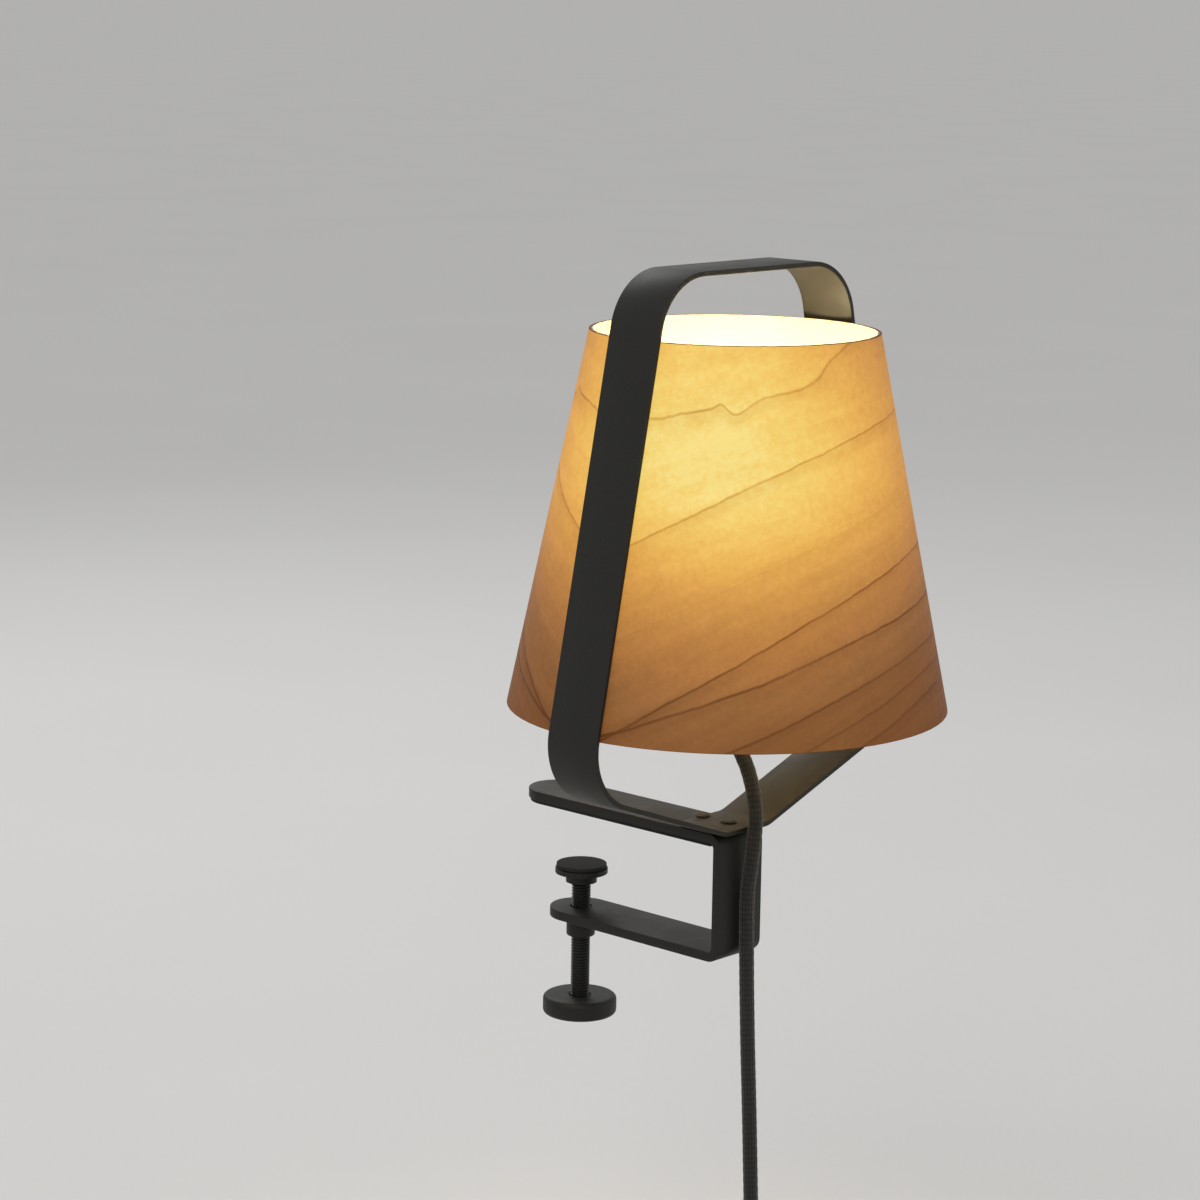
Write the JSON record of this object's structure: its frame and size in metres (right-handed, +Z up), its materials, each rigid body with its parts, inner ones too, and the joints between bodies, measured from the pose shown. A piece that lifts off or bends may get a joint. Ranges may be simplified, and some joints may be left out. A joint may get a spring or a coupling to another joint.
{
  "type": "clamp-on reading lamp",
  "caption": "Clamp-on reading lamp: a tapered wood-veneer shade held in a flat steel band loop that is riveted to a screw clamp for a table edge, with a switch and plug on its cord.",
  "frame": {"origin": "on the clamp screw's axis, in the plane of the upper jaw's rubber face, which rests on the table top", "axes": "+Z up along the screw and the shade's axis, +X along the table's front edge, +Y from the edge into the table; the shade stands outside the edge at -Y"},
  "size_m": [0.227, 0.191, 0.5055],
  "materials": {
    "clamp_steel": "matt charcoal powder coat",
    "jaw_rubber": "matt",
    "boss_steel": "matt charcoal powder coat",
    "screw_steel": "black oxide",
    "knob_steel": "matt charcoal powder coat",
    "pad_steel": "matt charcoal powder coat",
    "pad_rubber": "matt",
    "band_steel": "matt charcoal powder coat",
    "rivet_1_steel": "matt charcoal powder coat",
    "rivet_2_steel": "matt charcoal powder coat",
    "veneer": "thin satin veneer, grain round the shade",
    "liner": "white backing sheet",
    "bridge_zinc": "zinc plated",
    "nipple_brass": "turned",
    "nipple_nut_zinc": "zinc plated",
    "grip_plastic": "moulded",
    "holder_cap_plastic": "moulded",
    "holder_body_plastic": "moulded",
    "insert_ceramic": "ceramic",
    "tongue_bronze": "sprung sheet",
    "shell_nickel": "nickel plated",
    "terminal_1_brass": "turned",
    "terminal_2_brass": "turned",
    "bulb_contact_tin": "tinned",
    "bulb_cap_nickel": "nickel plated",
    "bulb_collar_plastic": "white moulding",
    "led_board_white": "white solder mask",
    "bulb_globe_opal": "opal",
    "lamp_cord_textile": "woven black sleeve",
    "tail_cord_textile": "woven black sleeve",
    "coil_textile": "woven black sleeve",
    "plug_cord_textile": "woven black sleeve",
    "tie_webbing": "hook and loop strap",
    "switch_lower_plastic": "moulded",
    "switch_upper_plastic": "moulded",
    "rocker_plastic": "moulded",
    "rocker_pin_steel": "ground",
    "switch_terminal_1_brass": "machined",
    "switch_terminal_2_brass": "machined",
    "switch_contact_bronze": "sprung sheet",
    "switch_screw_1_steel": "zinc plated",
    "switch_screw_2_steel": "zinc plated",
    "relief_rubber": "moulded",
    "plug_plastic": "moulded",
    "plug_pin_1_nickel": "nickel plated",
    "plug_pin_2_nickel": "nickel plated",
    "stud_left_steel": "zinc plated",
    "washer_left_steel": "zinc plated",
    "nut_left_steel": "zinc plated",
    "stud_right_steel": "zinc plated",
    "washer_right_steel": "zinc plated",
    "nut_right_steel": "zinc plated"
  },
  "bodies": {
    "lamp": {"clamp_bracket": "clamp_steel", "jaw_pad": "jaw_rubber", "thread_boss": "boss_steel", "band_frame": "band_steel", "band_rivet_1": "rivet_1_steel", "band_rivet_2": "rivet_2_steel", "shade_veneer": "veneer", "shade_liner": "liner", "lamp_bridge": "bridge_zinc", "nipple": "nipple_brass", "nipple_nut": "nipple_nut_zinc", "cord_grip": "grip_plastic", "holder_cap": "holder_cap_plastic", "holder_body": "holder_body_plastic", "contact_insert": "insert_ceramic", "centre_contact": "tongue_bronze", "thread_shell": "shell_nickel", "terminal_screw_1": "terminal_1_brass", "terminal_screw_2": "terminal_2_brass", "bulb_contact": "bulb_contact_tin", "bulb_screw_cap": "bulb_cap_nickel", "bulb_collar": "bulb_collar_plastic", "led_board": "led_board_white", "bulb_globe": "bulb_globe_opal", "lamp_cord": "lamp_cord_textile", "tail_cord": "tail_cord_textile", "cord_coil": "coil_textile", "plug_cord": "plug_cord_textile", "coil_tie": "tie_webbing", "switch_lower_shell": "switch_lower_plastic", "switch_upper_shell": "switch_upper_plastic", "rocker_pin": "rocker_pin_steel", "switch_terminal_1": "switch_terminal_1_brass", "switch_terminal_2": "switch_terminal_2_brass", "switch_contact": "switch_contact_bronze", "switch_screw_1": "switch_screw_1_steel", "switch_screw_2": "switch_screw_2_steel", "plug_relief": "relief_rubber", "plug_body": "plug_plastic", "plug_pin_1": "plug_pin_1_nickel", "plug_pin_2": "plug_pin_2_nickel", "bridge_stud_left": "stud_left_steel", "bridge_washer_left": "washer_left_steel", "bridge_nut_left": "nut_left_steel", "bridge_stud_right": "stud_right_steel", "bridge_washer_right": "washer_right_steel", "bridge_nut_right": "nut_right_steel"},
    "foot": {"pressure_pad": "pad_steel", "pressure_pad_face": "pad_rubber"},
    "screw": {"clamp_screw": "screw_steel", "clamp_knob": "knob_steel"},
    "rocker": {"switch_rocker": "rocker_plastic"}
  },
  "joints": [
    {"name": "clamp_travel", "type": "slide", "parent": "lamp", "child": "foot", "axis": [0, 0, 1], "range_m": [-0.0104, 0.0245]},
    {"name": "knob_turn", "type": "hinge", "parent": "foot", "child": "screw", "pos_m": [0, 0, -0.086], "axis": [0, 0, 1], "range_deg": [-2990, 7050]},
    {"name": "switch_rocker", "type": "hinge", "parent": "lamp", "child": "rocker", "pos_m": [0.064, -0.0985, -0.264], "axis": [0, 1, 0], "range_deg": [0, 14]}
  ],
  "couplings": [
    {"joint": "clamp_travel", "follows": "knob_turn", "m_per_rad": 0.00019894}
  ]
}
